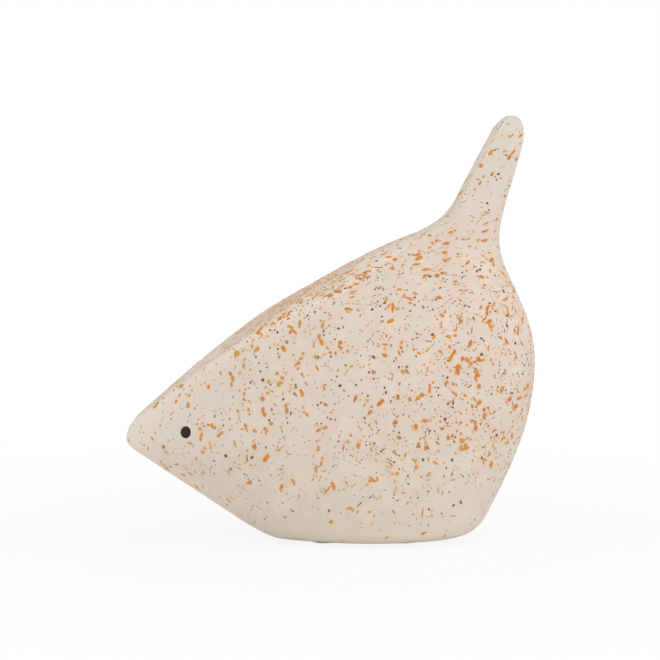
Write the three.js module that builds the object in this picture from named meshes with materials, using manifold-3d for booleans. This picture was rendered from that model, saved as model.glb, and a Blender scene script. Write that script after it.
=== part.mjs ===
import * as THREE from 'three';
import { mergeVertices } from 'three/addons/utils/BufferGeometryUtils.js';
import Module from 'manifold-3d';

// A hollow stoneware bird: one slip-cast shell, two inlaid clay eyes and four round felt feet.
// Millimetres, +Z up, beak towards -X, left side towards -Y. The origin lies on the shelf under
// the middle of the body. Heights of the casting are measured from its flat base.

// Main sizes of the casting
const BODY_LENGTH = 115.5; // beak tip to rump
const BODY_WIDTH = 54; // across the belly
const BEAK_HEIGHT = 28; // base to beak tip
const BELLY_HEIGHT = 37; // base to the widest level
const RUMP_HEIGHT = 49.5; // base to the rearmost level
const TAIL_ROOT_HEIGHT = 85; // base to the hollow behind the root of the tail
const TAIL_ROOT_INSET = 10.2; // rump to that hollow, along the body
const TAIL_LENGTH = 34.4; // hollow to tail tip
const TAIL_SWEEP = 3.3; // lean of the tail tip behind the hollow
const TAIL_WIDTH = 10.4; // across the straight part of the tail
const TAIL_WIDTH_RISE = 18; // hollow to the level where the tail has that width
const BASE_FRONT = 15; // origin to the front edge of the flat base
const BASE_REAR = 34; // origin to the rear edge of the flat base
const BASE_WIDTH = 26; // across the flat base

// Side outline: corners and curve handles as [along +X, up] from the point named in the comment
const CHEST_CORNER = [-2.5, 0]; // where the chest line would meet the base, from the front edge
const CHEST_ROUND = 10.5; // length of the rounding up the chest line
const THROAT = [3.5, -3.8]; // end of the chest line, from the beak tip
const BROW = [3.15, 6.15]; // start of the back, from the beak tip
const BROW_PULL = [0, 2.5]; // from the beak tip
const BACK_PULL = [16.9, 14.5]; // from the brow
const NAPE = [-27.8, -0.4]; // end of the back, from the hollow
const NAPE_PULL = [-27.3, -12.25]; // from the nape
const TAIL_CORNER = [-15.3, 3.4]; // where back and tail lines would meet, from the hollow
const TAIL_FRONT = [-11.6, 12.5]; // start of the tail's straight front, from the hollow
const TIP_FRONT = [-5.4, -4]; // end of the straight front, from the tail tip
const TIP_FRONT_PULL = [-2.8, 0]; // from the tail tip
const HEEL_CORNER = [7.4, 0]; // where the rump line would meet the base, from the rear edge
const HEEL = [10.6, 6.6]; // end of the heel's rounding, from the rear edge
const HEEL_PULL = [5.8, 12]; // from the heel
const RUMP_DROP = 18; // handle below the rump
const RUMP_LIFT = 16.5; // handle above the rump
const HOLLOW_DROP = 11; // handle below the hollow
const HOLLOW_LIFT = 5; // handle above the hollow
const TAIL_REAR = [3.8, 16.5]; // start of the tail's straight rear, from the hollow
const TIP_REAR = [3, -9]; // end of the straight rear, from the tail tip
const TIP_REAR_PULL = [4.2, -4.6]; // from the tail tip
const TIP_CROWN_PULL = [3.4, 0]; // from the tail tip

// Half-width outline: [out from the middle, up]
const FOOT_CORNER = [6, 0]; // where the flank would meet the base, from the base edge
const FLANK_FOOT = [8.6, 7]; // end of the foot's rounding, from the base edge
const FLANK_PULL = [3.7, 10]; // from the flank foot
const BELLY_DROP = 11; // handle below the belly
const BELLY_LIFT = 33; // handle above the belly
const TAIL_DROP = 23; // handle below the tail's straight part
const TIP_DROP = 8; // handle below the rounded tail tip

// Level contours are rounded eight-cornered outlines: shares of the contour's own size
const BASE_FULLNESS = 0.42; // front corner over half width, at the base
const BEAK_FULLNESS = 0.14; // at the beak
const BACK_FULLNESS = 0.84; // along the flat back
const TAIL_FULLNESS = 0.32; // on the tail
const REAR_FULLNESS = 0.42; // rear corner over half width
const BODY_SHOULDER = 0.34; // front to side corner over length, on the body
const TAIL_SHOULDER = 0.16; // the same on the tail
const HIP = 0.28; // rear to side corner over length
const RIDGE_SOFTNESS = 0.33; // most that the rounding of a front corner takes of a side
const BODY_SOFTNESS = 0.48; // rounding share at the other corners, on the body
const TAIL_SOFTNESS = 0.2; // the same on the tail
const BACK_RISE = 38; // beak tip to the level where the back is fully flat

// Rounding of the two ridges, where the front and the flat back meet the sides, along each of them
const CHEST_RIDGE_ROUND = 7; // at the base
const HEAD_RIDGE_ROUND = 1.4; // along the head
const NAPE_RIDGE_ROUND = 10; // under the tail
const TAIL_RIDGE_ROUND = 1.5; // on the tail
const CRISP_RISE = 30; // beak tip to the level where the head's ridges start to soften

// Hollow casting
const WALL = 4;
const CAVITY_CLOSE = 7; // the cavity ends where it gets narrower than this
const VENT_DIAMETER = 10; // casting hole in the base

// Eyes
const EYE_DIAMETER = 3.4;
const EYE_DOME = 0.5; // rise of the dome over the glaze
const EYE_SOCKET_DEPTH = 1.5;
const EYE_CLEARANCE = 0.3; // to the socket's wall and floor
const EYE_SETBACK = 16.9; // beak tip to eye, along the body
const EYE_RISE = 3.75; // beak tip to eye, up

// Felt feet
const PAD_DIAMETER = 8;
const PAD_THICKNESS = 0.8;
const PAD_PLACE = 0.46; // middle of a pad over the base's half width there
const PAD_END = 13.5; // middle of a pad from the base's front or rear edge

// Facets
const OUTLINE_STEPS = 200;
const CURVE_STEPS = 6;
const LEVEL_STEP = 0.45;
const CORNER_STEPS = 4;
const CAVITY_STEP = 4.5;
const CAVITY_CORNER_STEPS = 3;
const ROUND_SIDES = 32;
const CUT_OVERRUN = 1;

const wasm = await Module();
wasm.setup();

const beakTip = new THREE.Vector2(-BODY_LENGTH / 2, BEAK_HEIGHT);
const rump = new THREE.Vector2(BODY_LENGTH / 2, RUMP_HEIGHT);
const hollow = new THREE.Vector2(rump.x - TAIL_ROOT_INSET, TAIL_ROOT_HEIGHT);
const tailTip = new THREE.Vector2(hollow.x + TAIL_SWEEP, hollow.y + TAIL_LENGTH);
const baseFront = new THREE.Vector2(-BASE_FRONT, 0);
const baseRear = new THREE.Vector2(BASE_REAR, 0);
const ventX = (baseFront.x + baseRear.x) / 2;

function from(point, [along, up]) {
  return new THREE.Vector2(point.x + along, point.y + up);
}

function curveTo(path, ...points) {
  const coordinates = points.flatMap((point) => [point.x, point.y]);
  if (points.length === 1) path.lineTo(...coordinates);
  if (points.length === 2) path.quadraticCurveTo(...coordinates);
  if (points.length === 3) path.bezierCurveTo(...coordinates);
}

// Chest, beak, back and front of the tail, from the base up
function frontOutline() {
  const corner = from(baseFront, CHEST_CORNER);
  const throat = from(beakTip, THROAT);
  const chest = throat.clone().sub(corner);
  const chestFoot = corner.clone().addScaledVector(chest, CHEST_ROUND / chest.length());
  const underBeak = corner.clone().addScaledVector(chest, (beakTip.x - corner.x) / chest.x);
  const brow = from(beakTip, BROW);
  const nape = from(hollow, NAPE);
  const path = new THREE.Path([baseFront]);
  curveTo(path, corner, chestFoot);
  curveTo(path, throat);
  curveTo(path, underBeak, beakTip);
  curveTo(path, from(beakTip, BROW_PULL), brow);
  curveTo(path, from(brow, BACK_PULL), from(nape, NAPE_PULL), nape);
  curveTo(path, from(hollow, TAIL_CORNER), from(hollow, TAIL_FRONT));
  curveTo(path, from(tailTip, TIP_FRONT));
  curveTo(path, from(tailTip, TIP_FRONT_PULL), tailTip);
  return path;
}

// Heel, rump, hollow and rear of the tail, from the base up
function rearOutline() {
  const heel = from(baseRear, HEEL);
  const tailRear = from(hollow, TAIL_REAR);
  const path = new THREE.Path([baseRear]);
  curveTo(path, from(baseRear, HEEL_CORNER), heel);
  curveTo(path, from(heel, HEEL_PULL), from(rump, [0, -RUMP_DROP]), rump);
  curveTo(path, from(rump, [0, RUMP_LIFT]), from(hollow, [0, -HOLLOW_DROP]), hollow);
  curveTo(path, from(hollow, [0, HOLLOW_LIFT]), tailRear);
  curveTo(path, from(tailTip, TIP_REAR));
  curveTo(path, from(tailTip, TIP_REAR_PULL), from(tailTip, TIP_CROWN_PULL), tailTip);
  return path;
}

// Half the body's width at each height
function halfWidthOutline() {
  const foot = new THREE.Vector2(BASE_WIDTH / 2, 0);
  const flankFoot = from(foot, FLANK_FOOT);
  const belly = new THREE.Vector2(BODY_WIDTH / 2, BELLY_HEIGHT);
  const tail = new THREE.Vector2(TAIL_WIDTH / 2, TAIL_ROOT_HEIGHT + TAIL_WIDTH_RISE);
  const tip = new THREE.Vector2(0, tailTip.y);
  const path = new THREE.Path([foot]);
  curveTo(path, from(foot, FOOT_CORNER), flankFoot);
  curveTo(path, from(flankFoot, FLANK_PULL), from(belly, [0, -BELLY_DROP]), belly);
  curveTo(path, from(belly, [0, BELLY_LIFT]), from(tail, [0, -TAIL_DROP]), tail);
  curveTo(path, from(tail, [0, TIP_DROP]), from(tip, [TAIL_WIDTH / 2, 0]), tip);
  return path;
}

const front = frontOutline();
const rear = rearOutline();
const halfWidth = halfWidthOutline();
const frontPoints = front.getSpacedPoints(OUTLINE_STEPS);
const rearPoints = rear.getSpacedPoints(OUTLINE_STEPS);
const halfWidthPoints = halfWidth.getSpacedPoints(OUTLINE_STEPS);

// Where a rising outline stands at one height
function across(points, height) {
  const above = Math.max(1, points.findIndex((point) => point.y >= height));
  const low = points[above - 1];
  const high = points[above];
  return THREE.MathUtils.mapLinear(height, low.y, high.y, low.x, high.x);
}

// The same, one wall inside: where a ball as big as the wall stops as it rolls along the outline
function insideWall(points, height, side) {
  const reaches = points
    .filter((point) => Math.abs(point.y - height) < WALL)
    .map((point) => side * point.x + Math.sqrt(WALL ** 2 - (point.y - height) ** 2));
  return side * Math.max(...reaches);
}

function outerSize(height) {
  return {
    front: across(frontPoints, height),
    rear: across(rearPoints, height),
    half: across(halfWidthPoints, height),
  };
}

function cavitySize(height) {
  return {
    front: insideWall(frontPoints, height, 1),
    rear: insideWall(rearPoints, height, -1),
    half: insideWall(halfWidthPoints, height, -1),
  };
}

// How far a height lies on the way from the body to the tail
function tailShare(height) {
  return THREE.MathUtils.smoothstep(height, TAIL_ROOT_HEIGHT, TAIL_ROOT_HEIGHT + TAIL_FRONT[1]);
}

function frontFullness(height) {
  const { lerp, smoothstep } = THREE.MathUtils;
  if (height < BEAK_HEIGHT) {
    return lerp(BASE_FULLNESS, BEAK_FULLNESS, smoothstep(height, 0, BEAK_HEIGHT));
  }
  const back = smoothstep(height, BEAK_HEIGHT, BEAK_HEIGHT + BACK_RISE);
  const body = lerp(BEAK_FULLNESS, BACK_FULLNESS, back);
  return lerp(body, TAIL_FULLNESS, tailShare(height));
}

function ridgeRound(height) {
  const { lerp, smoothstep } = THREE.MathUtils;
  if (height < BEAK_HEIGHT) {
    return lerp(CHEST_RIDGE_ROUND, HEAD_RIDGE_ROUND, smoothstep(height, 0, BEAK_HEIGHT));
  }
  const nape = smoothstep(height, BEAK_HEIGHT + CRISP_RISE, TAIL_ROOT_HEIGHT);
  const body = lerp(HEAD_RIDGE_ROUND, NAPE_RIDGE_ROUND, nape);
  return lerp(body, TAIL_RIDGE_ROUND, tailShare(height));
}

// One level contour, anticlockwise from above, starting at the left front corner
function contour(size, height, cornerSteps) {
  const { lerp } = THREE.MathUtils;
  const length = size.rear - size.front;
  const shoulder = size.front + length * lerp(BODY_SHOULDER, TAIL_SHOULDER, tailShare(height));
  const hip = size.rear - length * HIP;
  const ridge = { share: RIDGE_SOFTNESS, round: ridgeRound(height) };
  const side = { share: lerp(BODY_SOFTNESS, TAIL_SOFTNESS, tailShare(height)), round: Infinity };
  const leftCorners = [
    { x: size.front, y: size.half * frontFullness(height), ...ridge },
    { x: shoulder, y: size.half, ...side },
    { x: hip, y: size.half, ...side },
    { x: size.rear, y: size.half * REAR_FULLNESS, share: BODY_SOFTNESS, round: Infinity },
  ];
  const rightCorners = leftCorners.map((corner) => ({ ...corner, y: -corner.y })).reverse();
  const corners = [...leftCorners, ...rightCorners].map(({ x, y, share, round }) => {
    return { point: new THREE.Vector2(x, -y), share, round };
  });
  return corners.flatMap((corner, i) => {
    const [start, end] = [corners.at(i - 1), corners[(i + 1) % corners.length]].map((next) => {
      const share = Math.min(corner.share, corner.round / corner.point.distanceTo(next.point));
      return corner.point.clone().lerp(next.point, share);
    });
    const bend = new THREE.QuadraticBezierCurve(start, corner.point, end);
    return bend.getPoints(cornerSteps).map((spot) => new THREE.Vector3(spot.x, spot.y, height));
  });
}

// Closed skin over a stack of contours, with a fan to a point at each end
function loft(contours, bottom, top) {
  const sides = contours[0].length;
  const points = [...contours.flat(), bottom, top];
  const bottomIndex = points.length - 2;
  const topIndex = points.length - 1;
  const lastRow = (contours.length - 1) * sides;
  const faces = [];
  for (let i = 0; i < sides; i += 1) {
    const next = (i + 1) % sides;
    faces.push(bottomIndex, next, i);
    faces.push(topIndex, lastRow + i, lastRow + next);
    for (let row = 0; row < lastRow; row += sides) {
      faces.push(row + i, row + next, row + sides + next);
      faces.push(row + i, row + sides + next, row + sides + i);
    }
  }
  const geometry = new THREE.BufferGeometry().setFromPoints(points);
  geometry.setIndex(faces);
  return geometry;
}

// Heights of the outer contours: every joint of the outlines, then their bends where there is room
function contourHeights(outlines) {
  const joints = outlines.flatMap((outline) => outline.curves.map((curve) => curve.getPoint(0).y));
  const bends = outlines.flatMap((outline) => outline.getPoints(CURVE_STEPS).map((point) => point.y));
  const heights = [tailTip.y];
  for (const height of [...joints, ...bends]) {
    if (heights.every((kept) => Math.abs(kept - height) > LEVEL_STEP)) heights.push(height);
  }
  return heights.sort((a, b) => a - b).slice(0, -1);
}

function outerSkin() {
  const contours = contourHeights([front, rear, halfWidth]).map((height) => {
    return contour(outerSize(height), height, CORNER_STEPS);
  });
  const tip = new THREE.Vector3(tailTip.x, 0, tailTip.y);
  return loft(contours, new THREE.Vector3(ventX, 0, 0), tip);
}

// The cavity keeps one wall everywhere and ends under the tail, which is cast solid
function cavitySkin() {
  const contours = [];
  for (let height = WALL; height < tailTip.y; height += CAVITY_STEP) {
    const size = cavitySize(height);
    if (size.rear - size.front < CAVITY_CLOSE || size.half * 2 < CAVITY_CLOSE) break;
    contours.push(contour(size, height, CAVITY_CORNER_STEPS));
  }
  const middle = (ring) => new THREE.Box3().setFromPoints(ring).getCenter(new THREE.Vector3());
  return loft(contours, middle(contours[0]), middle(contours.at(-1)));
}

function toSolid(geometry) {
  const bare = new THREE.BufferGeometry().setAttribute('position', geometry.getAttribute('position'));
  const merged = mergeVertices(bare.setIndex(geometry.getIndex()));
  const vertProperties = new Float32Array(merged.getAttribute('position').array);
  const triVerts = new Uint32Array(merged.getIndex().array);
  return new wasm.Manifold(new wasm.Mesh({ numProp: 3, vertProperties, triVerts }));
}

function toGeometry(solid) {
  const { vertProperties, triVerts } = solid.getMesh();
  const geometry = new THREE.BufferGeometry();
  geometry.setAttribute('position', new THREE.BufferAttribute(vertProperties, 3));
  geometry.setIndex(new THREE.BufferAttribute(triVerts, 1));
  geometry.computeVertexNormals();
  return geometry;
}

// Half the width of a contour at one place along the body
function halfAt(ring, x) {
  const left = ring.filter((point) => point.y < 0).sort((a, b) => a.x - b.x);
  const behind = left.findIndex((point) => point.x >= x);
  const [a, b] = [left[behind - 1], left[behind]];
  return -THREE.MathUtils.mapLinear(x, a.x, b.x, a.y, b.y);
}

// Left eye: its spot on the glaze and the direction that the glaze faces there
function eyeSeat() {
  const x = beakTip.x + EYE_SETBACK;
  const height = BEAK_HEIGHT + EYE_RISE;
  const surface = (along, up) => {
    const ring = contour(outerSize(height + up), height + up, CORNER_STEPS);
    return new THREE.Vector3(x + along, -halfAt(ring, x + along), height + up);
  };
  const reach = EYE_DIAMETER / 2;
  const alongSkin = surface(reach, 0).sub(surface(-reach, 0));
  const upSkin = surface(0, reach).sub(surface(0, -reach));
  return { spot: surface(0, 0), facing: alongSkin.cross(upSkin).normalize() };
}

function roundPlug(diameter, low, high) {
  const plug = new THREE.CylinderGeometry(diameter / 2, diameter / 2, high - low, ROUND_SIDES);
  return plug.rotateX(Math.PI / 2).translate(0, 0, (low + high) / 2);
}

// Domed pellet, its axis along Z and its rim level with the glaze
function eyePellet() {
  const radius = EYE_DIAMETER / 2;
  const floor = EYE_CLEARANCE - EYE_SOCKET_DEPTH;
  const dome = new THREE.QuadraticBezierCurve(
    new THREE.Vector2(radius, 0),
    new THREE.Vector2(radius, EYE_DOME),
    new THREE.Vector2(0, EYE_DOME),
  );
  const bottom = [new THREE.Vector2(0, floor), new THREE.Vector2(radius, floor)];
  const profile = [...bottom, ...dome.getPoints(CURVE_STEPS)];
  return new THREE.LatheGeometry(profile, ROUND_SIDES).rotateX(Math.PI / 2);
}

function place(object, { spot, facing }, side) {
  object.position.set(spot.x, spot.y * side, spot.z);
  const outward = new THREE.Vector3(facing.x, facing.y * side, facing.z);
  object.quaternion.setFromUnitVectors(new THREE.Vector3(0, 0, 1), outward);
  object.updateMatrix();
  return object;
}

const eye = eyeSeat();
const mirror = { left: 1, right: -1 };

const glaze = new THREE.MeshStandardMaterial({ color: '#dfd5c7', roughness: 0.42, metalness: 0 });
const blackClay = new THREE.MeshStandardMaterial({ color: '#2b241d', roughness: 0.35, metalness: 0 });
const felt = new THREE.MeshStandardMaterial({ color: '#d6cec0', roughness: 0.95, metalness: 0 });

const bird = new THREE.Group();
const casting = new THREE.Group();
casting.position.z = PAD_THICKNESS;
bird.add(casting);

function addPart(parent, name, geometry, material) {
  const part = new THREE.Mesh(geometry, material);
  part.name = name;
  parent.add(part);
  return part;
}

function bodyShell() {
  const vent = roundPlug(VENT_DIAMETER, -CUT_OVERRUN, WALL + CUT_OVERRUN).translate(ventX, 0, 0);
  let shell = toSolid(outerSkin()).subtract(toSolid(cavitySkin())).subtract(toSolid(vent));
  for (const side of Object.values(mirror)) {
    const seat = place(new THREE.Object3D(), eye, side);
    const socket = roundPlug(EYE_DIAMETER + 2 * EYE_CLEARANCE, -EYE_SOCKET_DEPTH, EYE_DIAMETER);
    shell = shell.subtract(toSolid(socket.applyMatrix4(seat.matrix)));
  }
  return toGeometry(shell);
}

addPart(casting, 'body_shell', bodyShell(), glaze);

for (const [name, side] of Object.entries(mirror)) {
  place(addPart(casting, `${name}_eye`, eyePellet(), blackClay), eye, side);
}

const baseContour = contour(outerSize(0), 0, CORNER_STEPS);
const padPlaces = { front: PAD_END - BASE_FRONT, rear: BASE_REAR - PAD_END };
for (const [end, x] of Object.entries(padPlaces)) {
  for (const [name, side] of Object.entries(mirror)) {
    const pad = addPart(bird, `felt_pad_${end}_${name}`, roundPlug(PAD_DIAMETER, 0, PAD_THICKNESS), felt);
    pad.position.set(x, -side * halfAt(baseContour, x) * PAD_PLACE, 0);
  }
}

export default bird;
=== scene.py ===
"""Speckled stoneware bird: the looks of a slip-cast shelf ornament, built round its packed part."""

import math

import bpy
import numpy as np
from mathutils import Matrix, Vector
from mathutils.kdtree import KDTree


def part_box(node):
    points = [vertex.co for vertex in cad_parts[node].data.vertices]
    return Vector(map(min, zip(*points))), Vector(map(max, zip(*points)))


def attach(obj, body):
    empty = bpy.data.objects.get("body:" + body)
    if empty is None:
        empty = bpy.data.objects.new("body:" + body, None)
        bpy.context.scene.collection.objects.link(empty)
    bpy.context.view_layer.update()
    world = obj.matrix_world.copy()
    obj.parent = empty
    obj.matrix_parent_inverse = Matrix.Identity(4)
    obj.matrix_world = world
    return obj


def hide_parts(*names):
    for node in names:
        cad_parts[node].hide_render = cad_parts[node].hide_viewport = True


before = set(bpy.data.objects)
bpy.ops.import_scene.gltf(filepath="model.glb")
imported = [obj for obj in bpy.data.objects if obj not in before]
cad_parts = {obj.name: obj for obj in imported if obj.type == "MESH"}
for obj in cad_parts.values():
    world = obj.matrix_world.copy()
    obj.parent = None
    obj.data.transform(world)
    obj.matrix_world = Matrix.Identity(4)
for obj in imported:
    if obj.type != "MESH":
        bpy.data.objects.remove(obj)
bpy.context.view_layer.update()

bl_info = {
    "name": "Speckled Stoneware Bird",
    "version": (1, 0, 0),
    "blender": (4, 5, 0),
    "location": "View3D > Sidebar > Bird",
    "description": "Builds a slip-cast bird with splattered glaze, inlaid eyes and felt feet",
    "category": "Object",
}

MM = 0.001
CM2 = 1e-4  # a square centimetre in square metres
SIDES = {"left": -1, "right": 1}
FEET = ("front_left", "front_right", "rear_left", "rear_right")

# Side outline of the casting: corners and curve handles as (along +X, up), in millimetres
CHEST_CORNER = (-2.5, 0)
CHEST_ROUND = 10.5
THROAT = (3.5, -3.8)
BROW = (3.15, 6.15)
BROW_PULL = (0, 2.5)
BACK_PULL = (16.9, 14.5)
NAPE = (-27.8, -0.4)
NAPE_PULL = (-27.3, -11.55)
TAIL_CORNER = (-15.3, 3.4)
TAIL_FRONT = (-11.6, 12.5)
TIP_FRONT = (-5.4, -4)
TIP_FRONT_PULL = (-2.8, 0)
HEEL_CORNER = (7.4, 0)
HEEL = (10.6, 6.6)
HEEL_PULL = (5.8, 12)
RUMP_DROP = (0, -18)
RUMP_LIFT = (0, 16.5)
HOLLOW_DROP = (0, -11)
HOLLOW_LIFT = (0, 5)
TAIL_REAR = (3.8, 16.5)
TIP_REAR = (3, -9)
TIP_REAR_PULL = (4.2, -4.6)
TIP_CROWN_PULL = (3.4, 0)

# Half-width outline: (out from the middle, up), in millimetres
FOOT_CORNER = (6, 0)
FLANK_FOOT = (8.6, 7)
FLANK_PULL = (3.7, 10)
BELLY_DROP = (0, -11)
BELLY_LIFT = (0, 33)
TAIL_DROP = (0, -23)
TIP_DROP = (0, 8)
TAIL_WIDTH_RISE = 18

# Level contours: shares of the contour's own size
BASE_FULLNESS, BEAK_FULLNESS, BACK_FULLNESS, TAIL_FULLNESS = 0.42, 0.14, 0.84, 0.32
REAR_FULLNESS = 0.42
BODY_SHOULDER, TAIL_ROOT_SHOULDER, TAIL_TIP_SHOULDER, HIP = 0.34, 0.1, 0.22, 0.28
RIDGE_SOFTNESS, NAPE_SOFTNESS, BODY_SOFTNESS, TAIL_SOFTNESS = 0.33, 0.5, 0.48, 0.2
BACK_RISE = 38

# Rounding of the two ridges between back and sides, in millimetres
CHEST_RIDGE, HEAD_RIDGE, NAPE_RIDGE, TAIL_RIDGE = 7, 1.4, 10, 1.5
CRISP_RISE, SOFT_RISE = 33, 46
NO_LIMIT = 1000

# Every contour has eight corners. A round one is a regular octagon: its cut corner and flat over its width
CORNERS = 8
ROUND_SHARE = 1 / (2 + math.sqrt(2))
ROUND_FULLNESS = math.sqrt(2) - 1
ROUND_SOFTNESS = 0.5

# Fineness of the casting's mesh, and steps and least width of its cavity in millimetres
CURVE_STEPS = 60
OUTER_ROWS, BASE_ROWS, RIM_ROWS = 230, 6, 5
EVEN_ROWS = 0.55  # share of even spacing, the rest crowds the rows towards base and tip
CORNER_STEPS, FLAT_STEPS = 8, 6
CAVITY_STEP, CAVITY_CLOSE = 3.0, 7.0

# Numbers of one level contour, the lengths first
LENGTH_FIELDS = 5
ROW_FIELDS = ("height", "front", "rear", "half", "ridge_round", "fullness", "rear_fullness",
              "shoulder", "hip", "ridge_softness", "side_softness", "rear_softness", "tail", "glazed")

# Tests in the trees: margin between equal whole numbers, least share that counts as all, least length
SAME, FULLY, NEAR_ZERO = 0.1, 0.99, 1e-9
MERGE_DISTANCE = 1e-7

# Steps between the noise fields of neighbouring seeds
WAVE_STRIDE, CLOUD_STRIDE = 3.7, 1.37

# Rise above the base over which the waves in the skin begin, in millimetres
WAVES_START = (2, 12)

# Where the splatter changes: zones in millimetres, above the shelf or along the body, with the value before
# and the value after a zone where these are fixed
FOOT_START, FOOT_SHARE = 1, 0.1
TAIL_ZONE = (76, 96)
HEAD_ZONE = (-56, -14)
HEAD_SIZE_ZONE = (-58, -8)
RUMP_ZONE = (2, 32)
RUMP_RISE = ((4, 26), 0.0, 1.0)
NAPE_CROWD = ((52, 66), 0.0, 2.4)
NAPE_END = ((74, 84), 1.0, 0.15)
NAPE_SIDE = 0.6  # crowding beside the ridges over that on the flat back
NAPE_ALIGN = ((54, 68), 1.0, 0.4)
NAPE_FLOW = ((56, 72), math.radians(95), math.radians(18))  # lie of the drops, from upright to along the back
NAPE_SIZE = ((54, 70), 1.0, 0.9)
HIGH_STREAKS = ((52, 68), 0.0, 1.0)
LOW_STREAKS = ((22, 42), 0.9, 0.0)
FRONT_TONE = ((-45, 5), 0.3, 0.0)
LOW_TONE = ((12, 40), 0.3, 0.0)

# How drops crowd, and how each is drawn: spreads of its draws, powers of its shape
CLOUD_GAIN, LEAST_CLOUD = 3.4, 0.04
FLOW_ASIDE = (-0.25, 0.25)
CHAIN_POWER = 1.6
CHAIN_AHEAD, CHAIN_ASIDE, CHAIN_SHRINK = (0.6, 1.5), (-0.4, 0.4), (0.0, 0.4)
DROP_TURN = (-0.4, 0.4)
RIPPLES = ((2, 1.0, 0.5), (3, 2.3, 0.35), (5, 4.1, 0.22))  # waves round the rim, times the phase, height
PULL_POWER, STREAK_POWER, STREAK_GAIN = 2.4, 1.5, 0.9
TAPER_SPAN = (0.7, -1.0)
LENGTHEN, NARROW = 0.62, -0.38
SEAT_SHARE = 0.15  # lift of a drop's middle over the skin, as a share of its thickness
SMALL_DROP = ((0.15, 0.42), 0.45, 0.0)  # radii in millimetres, then how far a drop counts as thin
TONE_SPREAD, THIN_TONE = 0.62, 0.84
RIM_MARGIN = 0.01  # how near an edge lies to the drop's middle level to count as its rim
MAP_EDGE, MAP_TONE, MAP_RIM = 0.06, (0.88, 0.03), (0.86, 0.02)  # place of a drop on the bake map
SEED_STEP = 100  # between the seeds of two kinds of drops
EYE_MARGIN = 1.1  # bare ring round an eye, over its diameter
IN_MILLIMETRES = ("smallest", "largest", "chain_step", "clump_size", "thickness", "foot_height")

# Distances from a drop over which its iron fades out of the glaze
BLEED_REACH = (0.2 * MM, 1.7 * MM)

# Where the glaze changes: zones in millimetres, value before, value after
POOL_LOW = ((4, 46), 1.0, 0.0)
POOL_REAR = ((0, 36), 1.0, 0.5)
COOL_HEAD = ((-40, 4), 1.0, 0.0)
COOL_TAIL = ((84, 102), 0.0, 1.0)
COOL_FOOT = ((10, 40), 0.9, 0.0)
# Painted shade: the flat back, which faces up away from the front light, gets a darker, warmer cream over
# these zones
BACK_SHADE_ALONG = ((-36, 16), 0.2, 0.8)
BACK_SHADE_END = ((72, 86), 1.0, 0.25)
# Painted highlight: a pale band beside the ridges, from this height up
HIGHLIGHT_BESIDE_RIDGE = ((24, 32), 0.0, 0.46)
PALE_BEAK = ((-57, -44), 0.4, 0.0)
PALE_FOOT = ((1, 9), 0.45, 0.0)
PALE_TAIL = ((86, 106), 0.0, 0.17)
MIST_RISE = ((4, 34), 0.25, 1.0)
MIST_BODY = ((-55, -10), 0.55, 1.0)

# Patterns: waves per metre, detail, then noise from and to, value before, value after
BLEED_GRAIN = (240.0, 2.0, 0.35, 0.65, 0.17, 0.34)
BREAKS = (170.0, 3.0, 0.42, 0.7, 0.0, 0.2)
# The pale line along the ridge crest is painted highlight, broken up by this noise
CREST_HIGHLIGHT = (230.0, 2.0, 0.4, 0.6, 0.3, 0.75)
MIST_PATCHES = (95.0, 2.0, 0.35, 0.65, 0.35, 1.0)

# Flecks: cells per metre, share of cells that hold one, smallest and largest fleck over a cell, and the part
# of a fleck's radius over which it fades
GLAZE_MIST = ((1300.0, 0.03, 0.14, 0.36), (800.0, 0.03, 0.1, 0.3))
CLAY_GROG = (700.0, 0.3, 0.1, 0.4)
FLECK_EDGE = (0.75, 1.1)

# Strengths of patterns in the glaze and the clay, and the draws over which a fleck goes from umber to ochre
POOL_SHARE, CLOUD_SHARE = 0.8, 0.9
MIST_STRENGTH, MIST_HUES = 0.6, (0.25, 0.8)
CLAY_MOTTLE, GROG_STRENGTH = 0.5, 0.7

# Colour of a drop: grain in its tone, tones from dark to middle and from middle to light, thinning at the rim
TONE_GRAIN = 0.9
MIDDLE_TONE, LIGHT_TONE = (0.0, 0.4), (0.45, 0.85)
DROP_RIM = (0.65, 1.0, 0.0, 0.65)

# Finishes: noise values between which a roughness changes, and roughness of drops, clay and eyes
MIDDLE = (0.3, 0.7)
GLAZE_WAVER, DROP_WAVER = 0.06, 0.05
DROP_ROUGHNESS = 0.42
CLAY_ROUGHNESS, EYE_ROUGHNESS = (0.8, 0.95), (0.42, 0.6)

# Grains in the eyes and fibres in the felt: noise from and to, share before, share after
EYE_GRAIN = (0.4, 0.8, 0.0, 0.6)
EYE_BROWN = 2.2  # lightness of the grains over the black
FELT_TANGLE = (0.35, 0.65, 0.0, 0.8)

# Turned pieces: waves round their rims, then the eye pellet with its bottom over its radius and its edge over
# its depth, then the felt foot with points as (share of the radius, share of the thickness)
RIM_WAVES, RIM_WAVE_HEIGHT = (2, 3, 5, 7), (0.4, 1.0)
EYE_SIDES, EYE_WAVER, DOME_STEPS = 48, 0.02, 9
EYE_BOTTOM, EYE_EDGE = 0.94, 0.9
EYE_STEP_OUT = 1 * MM  # from the pellet's middle, so that the nearest skin is the outer one
FELT_SIDES, FELT_WAVER = 96, 0.006
FELT_PROFILE = ((0, 0.025), (0.55, 0), (0.9, 0.025), (0.985, 0.15), (1, 0.45), (0.99, 0.9), (0.97, 1), (0, 1))

# Felt fibres: thin end over thick end, lean from upright in radians, size over the set one, soft margin at
# the shelf and the base as a share of the felt, and how far a face that is glued to the base looks up
FIBRE_TIP, FIBRE_LEAN, FIBRE_SCALE, FIBRE_SKIRT = 0.2, (1.15, 1.5), (0.5, 1.2), 0.1
GLUED = 0.5

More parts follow.
